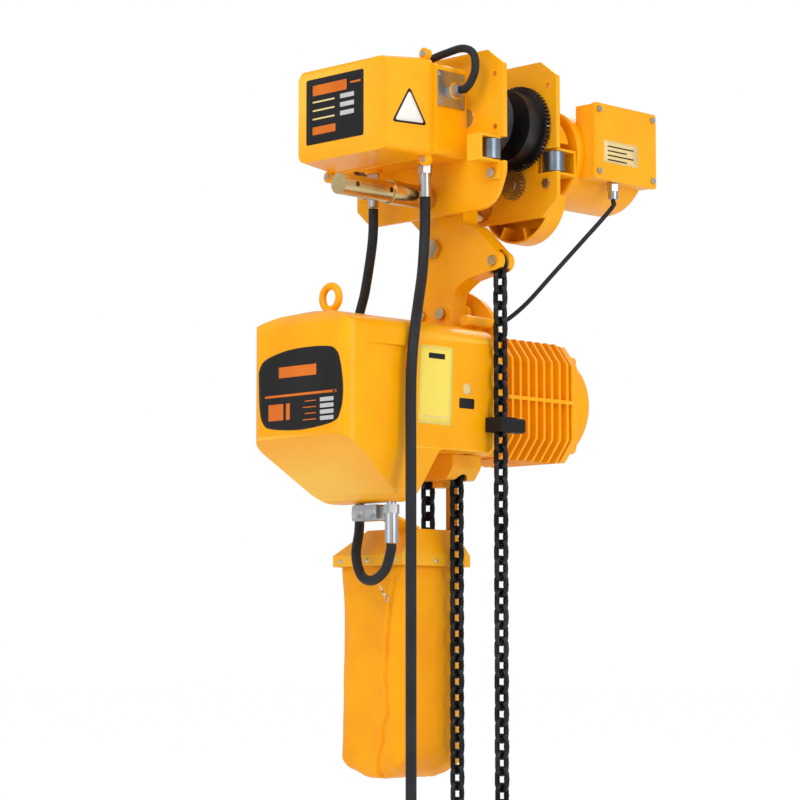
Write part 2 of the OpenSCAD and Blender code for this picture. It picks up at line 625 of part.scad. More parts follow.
// Cables between the trolley and the hoist
module feed_cable() color(DARK) tube([[-82, -100, -10], [-86, -98, -60], [-120, -80, -130], [-153, -66, -190],
    [-155, -62, -300], [-153, -62, -400], [-136, -76, -452], [-108, -104, -500], [-92, -126, -540],
    [-72, -134, -572], [-42, -140, -580], [-6, -150, -566], [14, -158, -540], [16, -158, -528]], 7.5);
module trolley_control_cable() color(DARK) tube([[158, 183, 9.4], [158, 183, 6], [158, 183, 0], [152, 162, -24], [134, 128, -66],
    [106, 98, -112], [72, 80, -152], [40, 70, -176], [19, 58, -188], [16, 44, -190]], 3.5);

// Chain bag under the casing and its sheet frame
module bag_solid(inset) intersection() {
    translate([0, 0, bag_low + inset]) linear_extrude(bag_top - bag_low)
        rounded_rect([bag_x[0] + inset, bag_y[0] + inset], [bag_x[1] - inset, bag_y[1] - inset], 12 - inset);
    slab_xz(-120, 60) polygon(rounded([[-175, bag_low + 24 + inset, 30], [-92, bag_low - 8 + inset, 90],
        [-6, bag_low + 24 + inset, 30], [-6, bag_top + inset + 1, 0], [-175, bag_top + inset + 1, 0]]));
}
module chain_bag() color("gold") difference() {
    bag_solid(0);
    translate([0, 0, 2]) bag_solid(4);
}
module hood(inset) hull() {
    box([bag_x[0] - 5 + inset, bag_y[0] - 6 + inset, -540], [bag_x[1] + 5 - inset, bag_y[1] + 6 - inset, -539]);
    box([-128 + inset, -66 + inset, -501], [-30 - inset, 24 - inset, -500]);
}
module bag_frame() color(YELLOW) {
    difference() {
        union() {
            hood(0);
            box([bag_x[0] - 5, bag_y[0] - 6, -556], [bag_x[1] + 5, bag_y[1] + 6, -540]);
        }
        translate([0, 0, -0.1]) hood(2.5);
        box([bag_x[0] - 2.5, bag_y[0] - 3.5, -560], [bag_x[1] + 2.5, bag_y[1] + 3.5, -539.9]);
        box([-125, -63, -510], [-33, 21, -490]);
    }
    // Straps up to the bracket under the casing and to the chain guide
    difference() {
        slab_yz(-60, -20) polygon([[-151.8, -490], [-151.8, -470], [-148, -470], [-62, -498], [-62, -502],
            [-67, -502], [-67, -500.4], [-148.5, -474], [-148.5, -490]]);
        rod_y(-42, -160, -483, 4.1, 20);
    }
    slab_yz(-46, -22) polygon([[21.5, -503], [24, -503], [24, -426 - GAP], [21.5, -426 - GAP]]);
}

// Bottom block: two cheeks with the sheave pin and a yoke for the hook
module hook_block() color(YELLOW) {
    difference() {
        union() {
            for (y = [-28, 20]) slab_xz(y, y + 8) translate([sheave_x, 0]) polygon(rounded([[-46, sheave_z + 46, 34],
                [46, sheave_z + 46, 34], [62, sheave_z - 30, 30], [30, sheave_z - 92, 16],
                [-30, sheave_z - 92, 16], [-62, sheave_z - 30, 30]]));
            slab_xz(-20, 20) translate([sheave_x, 0]) polygon(rounded([[58, sheave_z - 44, 0],
                [30, sheave_z - 92, 16], [-30, sheave_z - 92, 16], [-58, sheave_z - 44, 0],
                [-52, sheave_z - 40, 0], [-26, sheave_z - 66, 0], [26, sheave_z - 66, 0],
                [52, sheave_z - 40, 0]]));
        }
        rod_z(sheave_x, 0, sheave_z - 100, 11 + FIT, 40);
        rod_y(sheave_x, -30, sheave_z, block_pin_r, 60);
    }
    rod_y(sheave_x, -32, sheave_z, block_pin_r, 64);
}
module block_sheave() color(DARK) difference() {
    rod_y(sheave_x, -18, sheave_z, 52, 36);
    ring_y(sheave_x, -14, sheave_z, sheave_flat_r - wire_r - 0.3, 60, 28);
    ring_y(sheave_x, -4.4, sheave_z, sheave_upright_r - link_w - wire_r - 0.4, 60, 8.8);
    rod_y(sheave_x, -20, sheave_z, block_pin_r + FIT, 40);
}
module hook() color(DARK) {
    rod_z(sheave_x, 0, hook_z + 40, 11, 77);
    translate([sheave_x, 0, sheave_z - 66 + GAP]) cylinder(r = 16, h = 5, $fn = 6);
    translate([sheave_x, 0, hook_z]) {
        rotate([90, 0, 0]) rotate([0, 0, 190]) rotate_extrude(angle = 260)
            polygon([[hook_r, -9], [hook_r + 12, -12], [hook_r + 24, -8], [hook_r + 24, 8], [hook_r + 12, 12],
                [hook_r, 9]]);
        rod_z(0, 0, 27, 13, 17);
        rotate([0, -190, 0]) translate([hook_r + 12, 0, 0]) sphere(9);
        box([-21, -5, 46], [-8, 5, 54.5]);
        rod_y(-20, -14, 50, 3, 28);
    }
}
module safety_latch() color(ZINC) translate([sheave_x, 0, hook_z]) difference() {
    union() {
        slab_xz(-12, 12) polygon([[-19, 44], [-24.5, 8], [-28, 8], [-23, 44]]);
        for (y = [-12, 6]) slab_xz(y, y + 6) polygon([[-24, 42], [-16, 42], [-16, 54], [-24, 54]]);
    }
    rod_y(-20, -20, 50, 3 + FIT, 40);
}

// Pendant station and its cable
module pendant_cable() color(DARK) tube([[29, -100, -7], [29, -100, -20], [31, -103, -60],
    [42, -119, -120], [64, -150, -172], [83, -176, -212], [pend_x, -189, -255], [pend_x, pend_y, -310],
    [pend_x, pend_y, -420], [pend_x, pend_y, -680], [pend_x, pend_y, pend_z + 4]], 8);
BUTTON_Z = [-1010, -1050, -1105, -1145];
module pendant_housing() color("gold") difference() {
    union() {
        slab_yz(pend_x - 26, pend_x + 26) polygon(rounded([[pend_y - 26, -985, 8], [pend_y - 26, -1180, 12],
            [pend_y + 22, -1180, 12], [pend_y + 22, -985, 16]]));
        rod_z(pend_x, pend_y, -986, 14, 26 - GAP);
    }
    for (z = BUTTON_Z) rod_y(pend_x, pend_y - 30, z, 12.1, 30);
    rod_z(pend_x, pend_y, -1000, 5, 60);
}
module button(i) rod_y(pend_x, pend_y - 33, BUTTON_Z[i], 12, 26);
module button_up() color(ZINC) button(0);
module button_down() color(DARK) button(1);
module button_left() color(ZINC) button(2);
module button_right() color(DARK) button(3);

trolley_front_plate();
trolley_back_plate();
suspension_shaft();
shaft_collars();
wheel_axles();
wheel_bearings();
drive_wheel();
wheel_back_left();
wheel_front_right();
wheel_front_left();
roller_brackets();
roller_back_right();
roller_back_left();
roller_front_right();
roller_front_left();
control_box_base();
control_box_cover();
trolley_fasteners();
trolley_contactors();
trolley_glands();
supply_lead();
travel_gear_case();
travel_motor_housing();
travel_stator();
terminal_box();
terminal_cover();
travel_output_shaft();
travel_rotor();
suspender();
hoist_fasteners();
hoist_body();
front_cover();
hoist_controls();
eye_bolt();
motor_housing();
motor_end_cover();
motor_stator();
brake_coil();
shaft_bearings();
chain_guide();
hoist_gland();
load_chain();
chain_stop();
motor_rotor();
layshaft();
load_sprocket();
feed_cable();
trolley_control_cable();
bag_frame();
chain_bag();
hook_block();
block_sheave();
hook();
safety_latch();
pendant_cable();
pendant_housing();
button_up();
button_down();
button_left();
button_right();
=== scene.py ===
import json
import math

import bmesh
import bpy
import numpy as np
from mathutils import Matrix, Vector, noise
from mathutils.bvhtree import BVHTree


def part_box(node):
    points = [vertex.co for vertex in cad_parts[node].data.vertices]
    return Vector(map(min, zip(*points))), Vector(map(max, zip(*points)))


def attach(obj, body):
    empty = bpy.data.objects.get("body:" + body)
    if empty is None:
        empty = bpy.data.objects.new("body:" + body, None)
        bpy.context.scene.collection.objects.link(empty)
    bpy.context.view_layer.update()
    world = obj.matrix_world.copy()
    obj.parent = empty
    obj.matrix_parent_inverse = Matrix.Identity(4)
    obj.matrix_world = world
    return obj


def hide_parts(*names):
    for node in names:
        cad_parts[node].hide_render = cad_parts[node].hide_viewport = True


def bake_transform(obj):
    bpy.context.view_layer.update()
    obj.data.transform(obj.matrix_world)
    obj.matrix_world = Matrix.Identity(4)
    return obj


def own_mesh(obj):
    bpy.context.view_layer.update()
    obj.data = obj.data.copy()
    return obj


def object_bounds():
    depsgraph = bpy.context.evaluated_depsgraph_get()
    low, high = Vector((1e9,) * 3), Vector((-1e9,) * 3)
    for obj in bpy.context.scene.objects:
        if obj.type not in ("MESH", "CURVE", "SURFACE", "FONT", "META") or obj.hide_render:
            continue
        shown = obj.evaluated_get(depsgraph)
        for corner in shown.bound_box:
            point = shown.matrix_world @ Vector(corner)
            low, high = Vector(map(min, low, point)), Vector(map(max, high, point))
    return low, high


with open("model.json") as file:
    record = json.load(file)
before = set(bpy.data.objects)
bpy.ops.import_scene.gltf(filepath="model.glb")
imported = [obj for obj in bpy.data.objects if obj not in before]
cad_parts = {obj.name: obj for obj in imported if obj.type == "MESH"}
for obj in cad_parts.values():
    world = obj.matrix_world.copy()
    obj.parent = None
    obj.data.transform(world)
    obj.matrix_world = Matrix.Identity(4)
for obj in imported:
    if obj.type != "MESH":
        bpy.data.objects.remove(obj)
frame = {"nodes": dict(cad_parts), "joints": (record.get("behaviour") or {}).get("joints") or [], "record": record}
cad_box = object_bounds()
nodes = frame["nodes"]
record = frame["record"]
joint_at = {j["name"]: Vector(j["pos_m"]) for j in frame["joints"] if "pos_m" in j}
MM = 0.001


# ---------------------------------------------------------------- materials
def lin(r, g, b):
    """Linear colour of an sRGB colour given in 0 to 255."""
    def one(v):
        v /= 255.0
        return v / 12.92 if v <= 0.04045 else ((v + 0.055) / 1.055) ** 2.4
    return (one(r), one(g), one(b), 1.0)


class Finish:
    """A procedural material: a Principled shader with mottling, bump and worn edges."""

    def __init__(self, name, colour, shade, rough, metallic=0.0, coat=0.0):
        self.material = bpy.data.materials.new(name)
        self.material.use_nodes = True
        self.tree = self.material.node_tree
        self.shader = self.tree.nodes["Principled BSDF"]
        self.material.diffuse_color = colour
        self.place = self.add("ShaderNodeTexCoord").outputs["Object"]
        self.shader.inputs["Metallic"].default_value = metallic
        self.shader.inputs["Coat Weight"].default_value = coat
        self.shader.inputs["Coat Roughness"].default_value = 0.12
        self.shader.inputs["Specular IOR Level"].default_value = 0.2
        mottle = self.noise(14.0, 4.0)
        self.colour = self.mix(mottle, shade, colour, 0.35, 0.65)
        wear = self.noise(55.0, 5.0)
        span = self.add("ShaderNodeMapRange")
        span.inputs["To Min"].default_value = rough * 0.82
        span.inputs["To Max"].default_value = rough * 1.22
        self.join(wear, span.inputs["Value"])
        self.join(span.outputs["Result"], self.shader.inputs["Roughness"])
        self.join(self.colour, self.shader.inputs["Base Color"])

    def add(self, kind):
        return self.tree.nodes.new(kind)

    def join(self, a, b):
        self.tree.links.new(a, b)

    def noise(self, scale, detail, stretch=None):
        texture = self.add("ShaderNodeTexNoise")
        texture.inputs["Scale"].default_value = scale
        texture.inputs["Detail"].default_value = detail
        self.join(self.stretched(stretch), texture.inputs["Vector"])
        return texture.outputs["Fac"]

    def stretched(self, stretch):
        if stretch is None:
            return self.place
        mapping = self.add("ShaderNodeMapping")
        mapping.inputs["Scale"].default_value = stretch
        self.join(self.place, mapping.inputs["Vector"])
        return mapping.outputs["Vector"]

    def wave(self, scale, axis):
        texture = self.add("ShaderNodeTexWave")
        texture.bands_direction = axis
        texture.inputs["Scale"].default_value = scale
        self.join(self.place, texture.inputs["Vector"])
        return texture.outputs["Fac"]

    def mix(self, factor, first, second, low=0.0, high=1.0):
        ramp = self.add("ShaderNodeMapRange")
        ramp.inputs["From Min"].default_value = low
        ramp.inputs["From Max"].default_value = high
        self.join(factor, ramp.inputs["Value"])
        blend = self.add("ShaderNodeMix")
        blend.data_type = "RGBA"
        self.join(ramp.outputs["Result"], blend.inputs["Factor"])
        for socket, value in ((blend.inputs[6], first), (blend.inputs[7], second)):
            if isinstance(value, tuple):
                socket.default_value = value
            else:
                self.join(value, socket)
        return blend.outputs[2]

    def bump(self, height, strength, distance):
        node = self.add("ShaderNodeBump")
        node.inputs["Strength"].default_value = strength
        node.inputs["Distance"].default_value = distance
        self.join(height, node.inputs["Height"])
        if self.shader.inputs["Normal"].links:
            self.join(self.shader.inputs["Normal"].links[0].from_socket, node.inputs["Normal"])
        self.join(node.outputs["Normal"], self.shader.inputs["Normal"])
        return self

    def edges(self, colour, low=0.53, high=0.62):
        """Edges and rims take another colour, as paint and plating wear there."""
        geometry = self.add("ShaderNodeNewGeometry")
        self.colour = self.mix(geometry.outputs["Pointiness"], self.colour, colour, low, high)
        self.join(self.colour, self.shader.inputs["Base Color"])
        return self

    def grain(self, stretch, scale, strength):
        return self.bump(self.noise(scale, 3.0, stretch), strength, 0.0002)

    def sheen(self, weight):
        self.shader.inputs["Sheen Weight"].default_value = weight
        self.shader.inputs["Sheen Roughness"].default_value = 0.4
        return self


def paint(name, colour, shade, rough=0.30):
    finish = Finish(name, colour, shade, rough, coat=0.07)
    finish.bump(finish.noise(650.0, 2.0), 0.10, 0.0003)
    finish.bump(finish.noise(45.0, 2.0), 0.05, 0.001)
    return finish.edges(lin(255, 196, 60))


def metal(name, colour, shade, rough, stretch=(1, 1, 1), strength=0.12):
    finish = Finish(name, colour, shade, rough, metallic=1.0)
    return finish.grain(stretch, 700.0, strength).edges(lin(225, 225, 225), 0.54, 0.66)


ORANGE_YELLOW = lin(255, 175, 0)
FINISHES = {
    "yellow_paint": paint("yellow_paint", ORANGE_YELLOW, lin(250, 165, 0)),
    "zinc": metal("zinc", lin(205, 207, 210), lin(168, 172, 178), 0.28),
    "gold_zinc": metal("gold_zinc", lin(226, 204, 150), lin(196, 160, 92), 0.24),
    "dark_steel": metal("dark_steel", lin(84, 84, 86), lin(52, 52, 55), 0.46, strength=0.3),
    "bright_steel": metal("bright_steel", lin(190, 192, 196), lin(150, 152, 158), 0.25, (1, 12, 1)),
    "roller_steel": metal("roller_steel", lin(150, 162, 172), lin(108, 120, 132), 0.32, (1, 1, 10)),
    "black_chain": Finish("black_chain", lin(48, 50, 54), lin(26, 27, 30), 0.36, metallic=0.75)
    .grain(None, 900.0, 0.25).edges(lin(104, 106, 110), 0.55, 0.75),
    "black_rubber": Finish("black_rubber", lin(34, 35, 37), lin(22, 22, 24), 0.55).grain(None, 800.0, 0.2),
    "cable_sheath": Finish("cable_sheath", lin(42, 44, 48), lin(32, 34, 38), 0.46)
    .grain((1, 1, 6), 260.0, 0.12),
    "dark_plastic": Finish("dark_plastic", lin(46, 46, 49), lin(34, 34, 37), 0.5).grain(None, 1100.0, 0.2),
    "copper_coil": metal("copper_coil", lin(200, 132, 72), lin(150, 88, 42), 0.4, (1, 30, 1), 0.4),
    "yellow_plastic": Finish("yellow_plastic", lin(248, 172, 16), lin(240, 160, 8), 0.42)
    .grain(None, 1200.0, 0.25),
    "green_button": Finish("green_button", lin(40, 128, 66), lin(30, 104, 52), 0.38).grain(None, 900.0, 0.1),
    "black_button": Finish("black_button", lin(36, 36, 38), lin(26, 26, 28), 0.38).grain(None, 900.0, 0.1),
}
weave = Finish("bag_fabric", lin(255, 170, 0), lin(250, 160, 0), 0.55).sheen(0.12)
for axis in ("X", "Z"):
    weave.bump(weave.wave(190.0, axis), 0.22, 0.00025)
weave.bump(weave.noise(30.0, 5.0, (1.6, 1.6, 0.5)), 0.35, 0.004)
FINISHES["bag_fabric"] = weave
LABELS = {
    "dark": Finish("label_dark", lin(34, 33, 35), lin(27, 26, 28), 0.42),
    "orange": Finish("label_orange", lin(228, 120, 34), lin(214, 106, 26), 0.4),
    "pale": Finish("label_pale", lin(206, 206, 208), lin(190, 190, 194), 0.42),
    "lemon": Finish("label_lemon", lin(250, 226, 104), lin(246, 218, 90), 0.45),
    "white": Finish("label_white", lin(244, 244, 240), lin(232, 232, 228), 0.4, coat=0.2),
    "cream": Finish("label_cream", lin(240, 214, 150), lin(228, 198, 132), 0.4, coat=0.2),
}
for finish in LABELS.values():
    finish.grain(None, 500.0, 0.06)


# ---------------------------------------------------------------- CAD nodes
def modifier(obj, kind, **settings):
    """A new modifier with its settings."""
    made = obj.modifiers.new(kind.lower(), kind)
    for key, value in settings.items():
        setattr(made, key, value)
    return made


ROUNDING = {"hoist_body": 1.6, "front_cover": 1.6, "control_box_cover": 1.6, "control_box_base": 1.2,
            "motor_housing": 0.9, "motor_end_cover": 1.6, "travel_motor_housing": 1.5, "suspender": 2.5,
            "chain_guide": 2.0, "travel_gear_case": 1.6, "terminal_box": 2.5, "terminal_cover": 1.0,
            "hook_block": 1.8, "pendant_housing": 3.0, "hook": 1.0, "chain_stop": 2.0}
REBUILT = {"load_chain", "supply_lead", "feed_cable", "trolley_control_cable", "pendant_cable", "chain_bag"}
SLOW = {"drive_wheel", "travel_output_shaft", "layshaft", "load_sprocket", "travel_rotor", "motor_rotor"}
for row in record["subparts"]:
    node = nodes[row["node"]]
    node.data.materials.clear()
    node.data.materials.append(FINISHES[row["material_slot"]].material)
    node.data.shade_smooth()


def round_edges():
    """Small rounds on every edge of the CAD nodes. Called last, because each new object would redo them."""
    for name, cad_node in nodes.items():
        if name in REBUILT:
            continue
        modifier(cad_node, "WELD", merge_threshold=1e-6)
        if name not in SLOW:
            modifier(cad_node, "DECIMATE", decimate_type="DISSOLVE", angle_limit=math.radians(0.4))
        modifier(cad_node, "BEVEL", width=ROUNDING.get(name, 0.6) * MM, segments=2, limit_method="ANGLE",
                 angle_limit=math.radians(34), harden_normals=True, miter_outer="MITER_ARC")
        modifier(cad_node, "WEIGHTED_NORMAL", keep_sharp=True)


# ---------------------------------------------------------------- mesh tools
def piece(name, verts, faces, finish, body, stands_for=(), slot=None):
    """A new object from verts in metres, riding on a body and standing for CAD nodes."""
    mesh = bpy.data.meshes.new(name)
    mesh.from_pydata([tuple(v) for v in verts], [], faces)
    mesh.update()
    return place(name, mesh, finish, body, stands_for)


def place(name, mesh, finish, body, stands_for=()):
    """An object for a mesh; with no body yet, the caller lets it ride or leaves it unattached."""
    mesh.shade_smooth()
    obj = bpy.data.objects.new(name, mesh)
    bpy.context.scene.collection.objects.link(obj)
    mesh.materials.append(finish.material)
    if body:
        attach(obj, body)
    if stands_for:
        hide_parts(*stands_for)
    return obj


def sweep(path, radius, sides=20, closed=False):
    """Verts and faces of a round bar along a path, with radius a number or one number per point."""
    path = [Vector(p) for p in path]
    count = len(path)
    radii = radius if isinstance(radius, list) else [radius] * count
    verts, faces = [], []
    across = None
    for i, point in enumerate(path):
        ahead = path[(i + 1) % count] if closed else path[min(i + 1, count - 1)]
        behind = path[i - 1] if closed or i else path[0]
        along = (ahead - behind).normalized()
        if across is None:
            across = along.orthogonal().normalized()
        across = (across - along * across.dot(along)).normalized()
        other = along.cross(across)
        for k in range(sides):
            turn = 2 * math.pi * k / sides
            verts.append(point + radii[i] * (math.cos(turn) * across + math.sin(turn) * other))
    for i in range(count if closed else count - 1):
        a, b = i * sides, ((i + 1) % count) * sides
        for k in range(sides):
            faces.append((a + k, a + (k + 1) % sides, b + (k + 1) % sides, b + k))
    if not closed:
        faces.append(tuple(range(sides))[::-1])
        faces.append(tuple(range((count - 1) * sides, count * sides)))
    return verts, faces


def merged(parts):
    """Several (verts, faces) pairs as one."""
    verts, faces = [], []
    for part_verts, part_faces in parts:
        base = len(verts)
        verts.extend(part_verts)
        faces.extend(tuple(base + i for i in face) for face in part_faces)
    return verts, faces


def moved(part, matrix):
    """A (verts, faces) pair with a matrix applied."""
    return [matrix @ Vector(v) for v in part[0]], part[1]


def curve_through(points, steps=12):
    """Points of a smooth curve through the given ones, in millimetres, returned in metres."""
    count = len(points) - 1
    out = []
    for k in range(count * steps + 1):
        i = min(k // steps, count - 1)
        u = k / steps - i
        a, b, c, d = (Vector(points[min(max(j, 0), count)]) for j in (i - 1, i, i + 1, i + 2))
        out.append(0.5 * (2 * b + u * (c - a) + u * u * (2 * a - 5 * b + 4 * c - d)
                          + u ** 3 * (3 * b - a - 3 * c + d)) * MM)
    return out


# ---------------------------------------------------------------- load chain
PITCH = 0.024
WIRE = 0.0039
LINK_HALF = 0.0095
LINK_REACH = 0.016
SPROCKET_UPRIGHT, SPROCKET_FLAT = 0.03063, 0.02731
SHEAVE_UPRIGHT, SHEAVE_FLAT = 0.04586, 0.04371
SLACK_LINKS = 10
ANCHOR_DROP = 0.007
hoist_axis = joint_at["sprocket_spin"]
sheave_axis = joint_at["sheave_spin"]


def link_part():
    """A link standing in the X-Z plane, with the thickened weld on one side."""
    path, radii = [], []
    straight = LINK_REACH - LINK_HALF
    for side in (1, -1):
        for k in range(5):
            t = k / 5
            path.append((side * LINK_HALF, 0, side * straight * (2 * t - 1)))
            radii.append(WIRE * (1.0 + (0.10 if side > 0 and k in (2, 3) else 0.0)))
        for k in range(9):
            a = math.pi * k / 9
            path.append((side * LINK_HALF * math.cos(a), 0,
                         side * (straight + LINK_HALF * math.sin(a))))
            radii.append(WIRE)
    return sweep(path, radii, 10, closed=True)


LINK = link_part()
QUARTER = Matrix.Rotation(math.pi / 2, 4, "Z")


def fall(x, z, numbers, step):
    """A straight run of links from height z, every second one turned a quarter."""
    parts = []
    for i in numbers:
        spot = Matrix.Translation((x, 0, z + i * step * PITCH))
        parts.append(moved(LINK, spot @ (QUARTER if i % 2 else Matrix.Identity(4))))
    return merged(parts)


def wrap(centre, flat_r, upright_r, step_deg, numbers):
    """Links lying round a sprocket or sheave, every second one flat."""
    parts = []
    for i in numbers:
        spot = Matrix.Translation(centre) @ Matrix.Rotation(math.radians(-i * step_deg), 4, "Y")
        spot = spot @ Matrix.Translation((flat_r if i % 2 else upright_r, 0, 0))
        parts.append(moved(LINK, spot @ (QUARTER if i % 2 else Matrix.Identity(4))))
    return merged(parts)


live_x = hoist_axis.x + SPROCKET_UPRIGHT
slack_x = hoist_axis.x - SPROCKET_UPRIGHT
dead_x = sheave_axis.x + SHEAVE_UPRIGHT
live_links = round((hoist_axis.z - sheave_axis.z) / PITCH)
dead_links = live_links + 8
anchor = Vector((dead_x, 0, sheave_axis.z + (dead_links * PITCH + ANCHOR_DROP)))

chain = FINISHES["black_chain"]
piece("chain_slack", *fall(slack_x, hoist_axis.z, range(0, SLACK_LINKS), -1), chain, "hoist", ["load_chain"],
      "black_chain")
piece("chain_on_sprocket", *wrap(hoist_axis, SPROCKET_FLAT, SPROCKET_UPRIGHT, 45, range(1, 4)),
      chain, "hoist", slot="black_chain")
live = piece("chain_live", *fall(live_x, hoist_axis.z, range(0, live_links), -1), chain, "hoist",
             slot="black_chain")
dead = piece("chain_dead", *fall(dead_x, sheave_axis.z, range(1, dead_links + 1), 1), chain, "hoist",
             slot="black_chain")
piece("chain_on_sheave", *wrap(sheave_axis, SHEAVE_FLAT, SHEAVE_UPRIGHT, 30, range(-6, 1)),
      chain, "bottom_block", slot="black_chain")
for run, top in ((live, hoist_axis), (dead, anchor)):
    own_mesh(run)


# ---------------------------------------------------------------- cables
def cable(name, points, radius, body, node, blend_to=None, sides=20):
    """A round cable through points in millimetres, in place of a CAD node; with blend_to given, it rides on no
    body.
    """
    verts, faces = sweep(curve_through(points), radius, sides)
    rides_on = None if blend_to else body
    obj = piece(name, verts, faces, FINISHES["cable_sheath"], rides_on, [node], "cable_sheath")
    if blend_to:
        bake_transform(obj)


cable("supply_cable", [(96.4, -90, 150), (98.4, -90, 150), (103, -90, 150.3), (114, -90, 158),
                       (122, -88, 178), (118, -88, 202), (96, -88, 213), (60, -88, 211), (10, -88, 205),
                       (-60, -88, 204)], 0.006, "trolley", "supply_lead")
cable("hoist_feed_cable", [(-82, -100, -10), (-86, -98, -60), (-120, -80, -130), (-153, -66, -190),
                           (-155, -62, -300), (-153, -62, -400), (-136, -76, -452), (-108, -104, -500),
                           (-92, -126, -540), (-72, -134, -572), (-42, -140, -580), (-6, -150, -566),
                           (14, -158, -540), (16, -158, -528)], 0.0075, "trolley", "feed_cable",
      ("hoist", (-0.082, -0.1, -0.01), (-0.082, -0.1, -0.3)))
cable("travel_control_cable", [(158, 183, 9.4), (158, 183, 6), (158, 183, 0), (152, 162, -24), (134, 128, -66),
                               (106, 98, -112), (72, 80, -152), (40, 70, -176), (19, 58, -188),
                               (16, 44, -190)], 0.0035,
      "trolley", "trolley_control_cable", ("hoist", (0.158, 0.183, 0.0094), (0.016, 0.044, -0.19)), 14)
cable("pendant_lead", [(29, -100, -7), (29, -100, -20), (31, -103, -60), (42, -119, -120),
                       (64, -150, -172), (83, -176, -212), (90, -189, -255), (90, -192, -310),
                       (90, -192, -420), (90, -192, -680), (90, -192, -956)], 0.008,
      "pendant", "pendant_cable", sides=24)


# ---------------------------------------------------------------- labels that lie on the CAD surface
def surface(node):
    """A search tree of a CAD node's surface."""
    mesh = nodes[node].data
    return BVHTree.FromPolygons([v.co for v in mesh.vertices], [tuple(f.vertices) for f in mesh.polygons])


def outline(corners, radius, count=5):
    """A convex outline in millimetres with rounded corners."""
    out = []
    total = len(corners)
    for i, corner in enumerate(corners):
        c = Vector(corner)
        a = (Vector(corners[i - 1]) - c).normalized()
        b = (Vector(corners[(i + 1) % total]) - c).normalized()
        half = a.angle(b) / 2
        reach = min(radius / math.tan(half), 0.45 * min((Vector(corners[i - 1]) - c).length,
                                                       (Vector(corners[(i + 1) % total]) - c).length))
        for k in range(count + 1):
            t = k / count
            out.append(c + a * reach * (1 - t) ** 2 + b * reach * t ** 2)
    return out


def rect(u0, v0, u1, v1):
    """The corners of a rectangle, in millimetres."""
    return [(u0, v0), (u1, v0), (u1, v1), (u0, v1)]


def decal(name, tree, body, origin, across, up, shape, finish, lift, rings=6):
    """A thin sheet in millimetres from origin, dropped onto a surface against its facing direction."""
    across, up = Vector(across), Vector(up)
    facing = across.cross(up)
    area = sum(shape[i - 1].x * p.y - p.x * shape[i - 1].y for i, p in enumerate(shape))
    if area < 0:
        shape = shape[::-1]
    centre = sum(shape, Vector((0, 0))) / len(shape)
    dense = []
    for i, point in enumerate(shape):
        after = shape[(i + 1) % len(shape)]
        cuts = max(1, int((after - point).length // 6))
        dense.extend(point.lerp(after, k / cuts) for k in range(cuts))
    verts, faces = [], []
    for ring in range(rings + 1):
        for point in dense:
            flat = centre.lerp(point, ring / rings)
            start = Vector(origin) + (across * flat.x + up * flat.y) * MM + facing * 0.05
            hit = tree.ray_cast(start, -facing)[0]
            if hit is None:
                hit = start - facing * 0.05
            verts.append(hit + facing * lift * MM)
    count = len(dense)
    for ring in range(rings):
        for k in range(count):
            a, b = ring * count + k, ring * count + (k + 1) % count
            if ring == 0:
                faces.append((a, a + count, b + count))
            else:
                faces.append((a, a + count, b + count, b))
    obj = piece(name, verts, faces, finish, body)
    modifier(obj, "WELD", merge_threshold=1e-6)
    modifier(obj, "SOLIDIFY", thickness=(lift + 0.6) * MM * 0.9, offset=-1.0)


def marks(name, tree, body, origin, across, up, rows, lift=0.75):
    """Blank bars and boxes on a label, from (corners, finish) rows."""
    for i, (shape, finish) in enumerate(rows):
        decal(f"{name}_mark{i}", tree, body, origin, across, up, outline(shape, 0.8, 2), finish, lift, 7)


X_AXIS, Y_AXIS, Z_AXIS = (1, 0, 0), (0, 1, 0), (0, 0, 1)
cover_tree = surface("front_cover")
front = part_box("front_cover")[0].y
face = (0, front, 0)
LABEL_OUTLINE = [(-115, -276), (-102, -260), (-64, -250), (-22, -246.5), (30, -248), (50, -255), (57, -275),
                 (60, -315), (56, -346), (46, -358), (8, -364), (-34, -366), (-84, -362), (-103, -354),
                 (-112, -330)]
label_curve = curve_through([(u, v, 0) for u, v in LABEL_OUTLINE + LABEL_OUTLINE[:1]], 5)
decal("front_label", cover_tree, "hoist", face, X_AXIS, Z_AXIS,
      [Vector((p.x, p.y)) / MM for p in label_curve[:-1]], LABELS["dark"], 0.5, 16)
rows = [(rect(-100, -316, 51, -312.5), LABELS["orange"]), (rect(-70, -288, 10, -272), LABELS["orange"]),
        (rect(-92, -350, -60, -326), LABELS["orange"]), (rect(-54, -350, -46, -326), LABELS["orange"])]
rows += [(rect(18, -328 - 9 * i, 46, -322 - 9 * i), LABELS["pale"]) for i in range(4)]
rows += [(rect(-14 - 4 * (i % 2), -326 - 9 * i, 10, -324.6 - 9 * i), LABELS["orange"]) for i in range(4)]
marks("front_label", cover_tree, "hoist", face, X_AXIS, Z_AXIS, rows, 0.8)

box_tree = surface("control_box_cover")
box_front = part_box("control_box_cover")[0].y
face = (0, box_front, 0)
decal("control_label", box_tree, "trolley", face, X_AXIS, Z_AXIS,
      outline(rect(-118, 78, 6, 178), 4), LABELS["dark"], 0.5, 6)
rows = [(rect(-104, 152, -30, 168), LABELS["orange"]), (rect(-22, 160, 0, 163), LABELS["orange"]),
        (rect(-104, 92, -54, 104), LABELS["orange"])]
rows += [(rect(-44, 140 - 13 * i, -14, 147 - 13 * i), LABELS["pale"]) for i in range(3)]
rows += [(rect(-104, 141 - 13 * i, -56, 143.5 - 13 * i), LABELS["cream"]) for i in range(3)]
marks("control_label", box_tree, "trolley", face, X_AXIS, Z_AXIS, rows)

